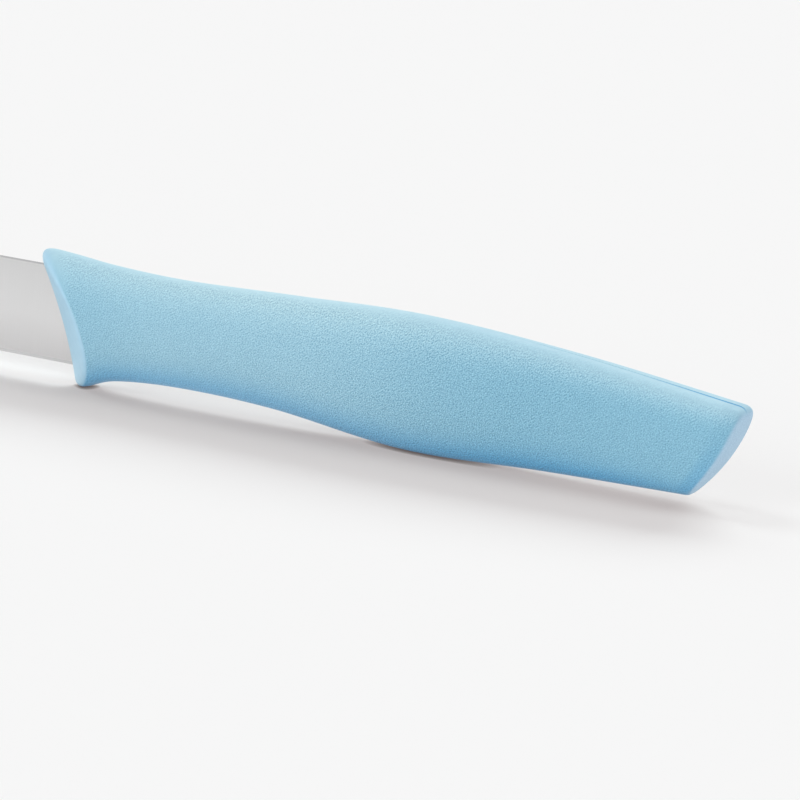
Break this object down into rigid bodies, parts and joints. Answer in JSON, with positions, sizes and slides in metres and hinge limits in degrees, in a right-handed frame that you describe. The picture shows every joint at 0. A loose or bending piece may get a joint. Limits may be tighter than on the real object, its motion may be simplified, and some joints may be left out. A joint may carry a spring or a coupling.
{
  "type": "paring knife",
  "caption": "Paring knife with a thin flat-ground steel blade and a contoured matte plastic handle with a bevelled nose, a guard, a swelling belly and a slanted butt.",
  "frame": {"origin": "on the surface that the knife stands on, under the middle of its length and on its middle plane", "axes": "+X from the tip towards the butt, +Y across the thickness, +Z from the edge up to the spine"},
  "size_m": [0.2012, 0.0138, 0.0208],
  "materials": {
    "blade_steel": "satin ground flats with a fine honed bevel along the edge",
    "handle_plastic": "fine moulded grain on the sides, smooth on the nose, with a fine parting line on the middle plane"
  },
  "bodies": {
    "root": {"blade": "blade_steel", "handle": "handle_plastic"}
  },
  "joints": []
}
